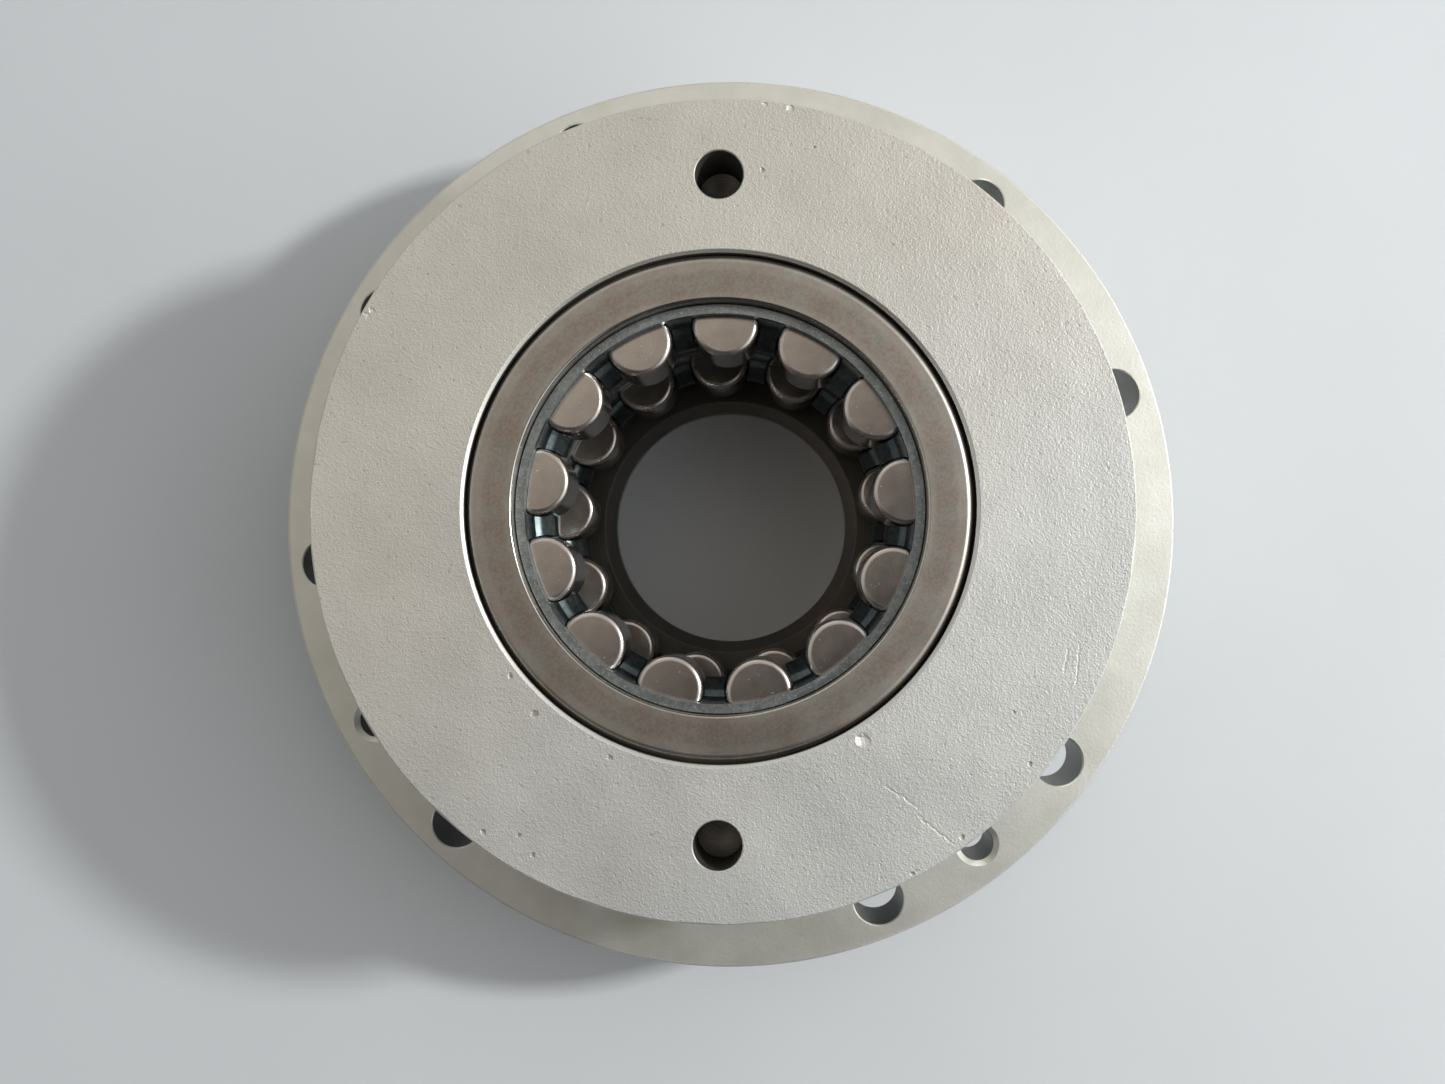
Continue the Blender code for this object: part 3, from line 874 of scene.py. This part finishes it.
def make_cage(row, material):
    """A pressed window cage: its middle sheet, given its wall and eased edges."""
    node = f"{row}_cage"
    low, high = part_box(node)
    first = JOINTS[f"{row}_roller_01"]["pos_m"]
    points, faces = cage_sheet((low.z + high.z) / 2, math.atan2(first[1], first[0]))
    cage = new_object(f"{row}_pressed_cage", points, faces, [material])
    cage.data.shade_smooth()
    wall = cage.modifiers.new("wall", "SOLIDIFY")
    wall.thickness = CAGE_WALL
    wall.offset = 0.0
    wall.use_even_offset = True
    edge = cage.modifiers.new("edge", "BEVEL")
    edge.width = CAGE_EDGE
    edge.segments = CAGE_EDGE_STEPS
    edge.limit_method = "ANGLE"
    edge.angle_limit = CAGE_EDGE_ANGLE
    edge.harden_normals = True
    dress(cage, node, node)


def make_roller(node, materials):
    """One roller: flat ends, a round edge and a straight side, on its own axis."""
    low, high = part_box(node)
    centre = JOINTS[node]["pos_m"]
    half = (high.z - low.z) / 2
    middle = (high.z + low.z) / 2
    profile = rounded([
        (0.0, half, 0.0),
        (ROLLER_RADIUS, half, ROLLER_EDGE),
        (ROLLER_RADIUS, -half, ROLLER_EDGE),
        (0.0, -half, 0.0),
    ], closed=False)
    points, faces = turned_solid(profile, ROLLER_COLUMNS)
    end, side, edge = range(3)
    # Down a roller: an arc, the straight side and another arc, then the fans of its two ends
    rows = [edge] * ARC_STEPS + [side] + [edge] * ARC_STEPS
    bands = np.concatenate((np.repeat(rows, ROLLER_COLUMNS), np.full(2 * ROLLER_COLUMNS, end)))
    placed = points + (centre[0], centre[1], middle)
    roller = new_object(node.replace("roller", "steel_roller"), placed, faces, materials, bands)
    own = roller.data.attributes.new(OWN_PLACE, "FLOAT_VECTOR", "POINT")
    own.data.foreach_set("vector", points.ravel())
    smooth(roller)
    dress(roller, node, node)


def make_bearings():
    """Both rows: rings, cages and rollers, and the spacer between them."""
    ring_steels = [
        ring_finish("ground_ring_steel", colour(161, 156, 148), colour(186, 181, 174), rough=0.34),
        ring_finish("polished_ring_edge", colour(190, 186, 180), colour(214, 211, 206), rough=0.14),
    ]
    plain = (colour(160, 154, 147), colour(188, 183, 176))
    spacer_steel = ring_finish("turned_spacer_steel", *plain, rough=0.29)
    sheet_steel = cage_finish()
    bright = (colour(198, 190, 183), colour(218, 211, 205))
    roller_steels = [
        roller_finish("lapped_roller_end", *bright, rough=0.15),
        roller_finish("polished_roller_side", colour(176, 170, 164), colour(198, 192, 187), rough=0.1),
        roller_finish("tumbled_roller_edge", *bright, rough=0.24),
    ]
    make_spacer(spacer_steel)
    for row in ("upper", "lower"):
        make_outer_ring(row, ring_steels)
        make_cage(row, sheet_steel)
        for number in range(1, ROLLER_COUNT + 1):
            make_roller(f"{row}_roller_{number:02d}", roller_steels)


def make_floor():
    """A wide pale sheet under the unit."""
    side = np.array((-FLOOR_HALF, FLOOR_HALF))
    x, y = np.meshgrid(side, side)
    points = np.stack((x, y, np.zeros_like(x)), axis=-1).reshape(-1, 3)
    floor = new_object("floor", points, [np.array([(0, 1, 3, 2)])], [paper_finish()])


def add_lamp(name, azimuth, elevation, distance, size, power):
    """A soft square lamp that faces the unit from an azimuth and elevation in degrees."""
    round_axis = math.radians(azimuth)
    up = math.radians(elevation)
    level = distance * math.cos(up)
    way = Vector((level * math.cos(round_axis), level * math.sin(round_axis), distance * math.sin(up)))
    lamp = bpy.data.lights.new(name, "AREA")
    lamp.shape = "SQUARE"
    lamp.size = size
    lamp.energy = power
    lamp.color = LAMP_TINT
    lamp_object = bpy.data.objects.new(name, lamp)
    lamp_object.location = LAMP_TARGET + way
    lamp_object.rotation_euler = (-way).to_track_quat("-Z", "Y").to_euler()
    bpy.context.scene.collection.objects.link(lamp_object)


def make_light():
    """A window to the right and a wide dim lamp behind, in a room with a bright and a dark side.

    The room's brightness rises with a direction's lean to the bright side, at the left and behind. The
    ceiling is warmer than the walls, and a white glow lies round the window.
    """
    add_lamp("window", azimuth=12.0, elevation=36.0, distance=1.1, size=0.09, power=8.6)
    add_lamp("far_wall", azimuth=112.0, elevation=26.0, distance=1.3, size=0.9, power=0.7)
    world = bpy.data.worlds.new("room")
    bpy.context.scene.world = world
    world.use_nodes = True
    nodes = Nodes(world.node_tree)
    direction = nodes.node("ShaderNodeTexCoord", output="Generated")
    up = nodes.height(direction)
    lean = nodes.measure("DOT_PRODUCT", direction, BRIGHT_SIDE)
    facing = nodes.measure("DOT_PRODUCT", direction, GLOW_WAY)
    walls = nodes.mix(nodes.rise(lean, -0.1, 0.5), colour(60, 60, 61), colour(186, 188, 190))
    ceiling = nodes.mix(nodes.rise(lean, -0.12, 0.38), colour(41, 41, 43), colour(203, 193, 181))
    room = nodes.mix(nodes.rise(up, 0.6, 0.9), walls, ceiling)
    lit = nodes.mix(nodes.rise(facing, 0.6, 0.92), room, colour(252, 252, 252))
    background = nodes.node("ShaderNodeBackground", None, {"Color": lit, "Strength": 1.0})
    nodes.node("ShaderNodeOutputWorld", None, {"Surface": background})


def make_camera():
    """The camera at the photograph's place: over the unit, looking almost straight down."""
    data = bpy.data.cameras.new("camera")
    data.sensor_fit = "HORIZONTAL"
    data.sensor_width = SENSOR_MM
    data.lens = SENSOR_MM * FOCAL_PIXELS / PHOTO_WIDTH
    data.clip_start = CAMERA_NEAR
    camera = bpy.data.objects.new("camera", data)
    bpy.context.scene.collection.objects.link(camera)
    tilt = Matrix.Rotation(CAMERA_TILT_X, 4, "X") @ Matrix.Rotation(CAMERA_TILT_Y, 4, "Y")
    camera.matrix_world = Matrix.Translation(CAMERA_PLACE) @ tilt
    bpy.context.scene.camera = camera


bpy.context.scene.view_settings.view_transform = "Standard"
make_camera()
make_housing()
make_bearings()
make_floor()
make_light()
